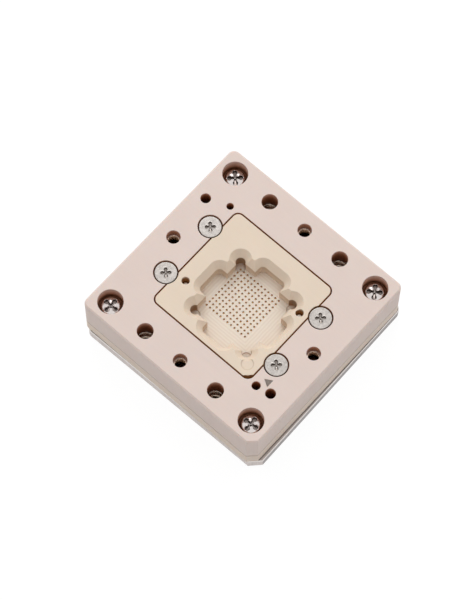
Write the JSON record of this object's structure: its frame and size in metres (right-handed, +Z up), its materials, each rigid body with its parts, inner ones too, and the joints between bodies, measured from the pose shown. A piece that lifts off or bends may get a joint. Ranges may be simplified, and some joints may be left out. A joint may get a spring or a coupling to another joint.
{
  "type": "ic test socket",
  "caption": "Square test socket for a fine-pitch chip package: a sprung floating nest over a field of spring probes, in a screwed stack of body, retainer plate and metal base plate.",
  "frame": {"origin": "centre of the screw pattern on the underside of the base plate", "axes": "+Z up out of the package pocket, +X and -Y towards the key corner with the pin-one marks"},
  "size_m": [0.0397, 0.0394, 0.0127],
  "materials": {
    "body_plastic": "fine matt, pinkish beige, machined",
    "retainer_plastic": "fine matt, beige, machined",
    "nest_plastic": "fine matt, cream, machined",
    "base_metal": "milled, satin",
    "satin_screw": "satin, granular",
    "bright_screw": "bright nickel plate",
    "insert_steel": "bright turned",
    "spring_steel": "drawn wire",
    "pin_steel": "ground",
    "probe_gold": "gold plate"
  },
  "bodies": {
    "socket": {"socket_body": "body_plastic", "probe_plate": "body_plastic", "retainer_plate": "retainer_plastic", "base_plate": "base_metal", "nest_screw_1": "satin_screw", "nest_screw_2": "satin_screw", "nest_screw_3": "satin_screw", "nest_screw_4": "satin_screw", "corner_screw_1": "bright_screw", "corner_screw_2": "bright_screw", "corner_screw_3": "bright_screw", "corner_screw_4": "bright_screw", "lid_insert_1": "insert_steel", "lid_insert_2": "insert_steel", "lid_insert_3": "insert_steel", "lid_insert_4": "insert_steel", "locating_bush_1": "insert_steel", "locating_bush_2": "insert_steel", "locating_bush_3": "insert_steel", "locating_bush_4": "insert_steel", "nest_spring_1": "spring_steel", "nest_spring_2": "spring_steel", "nest_spring_3": "spring_steel", "nest_spring_4": "spring_steel", "guide_pin_1": "pin_steel", "guide_pin_2": "pin_steel", "dowel_pin_1": "pin_steel", "dowel_pin_2": "pin_steel", "retainer_screw_1": "bright_screw", "retainer_screw_2": "bright_screw", "retainer_screw_3": "bright_screw", "retainer_screw_4": "bright_screw", "probe_barrels": "probe_gold"},
    "nest": {"floating_nest": "nest_plastic"},
    "upper_tips": {"probe_tips": "probe_gold"},
    "lower_feet": {"probe_feet": "probe_gold"}
  },
  "joints": [
    {"name": "nest_float", "type": "slide", "parent": "socket", "child": "nest", "axis": [0, 0, -1], "range_m": [0, 0.0004], "stiffness_N_per_m": 1500, "springref_m": -0.0004, "deforming": ["nest_spring_1", "nest_spring_2", "nest_spring_3", "nest_spring_4"]},
    {"name": "tips_press", "type": "slide", "parent": "socket", "child": "upper_tips", "axis": [0, 0, -1], "range_m": [0, 0.00035], "stiffness_N_per_m": 2000, "springref_m": -0.0002},
    {"name": "feet_press", "type": "slide", "parent": "socket", "child": "lower_feet", "axis": [0, 0, 1], "range_m": [0, 0.0002], "stiffness_N_per_m": 2000, "springref_m": -0.0002}
  ]
}
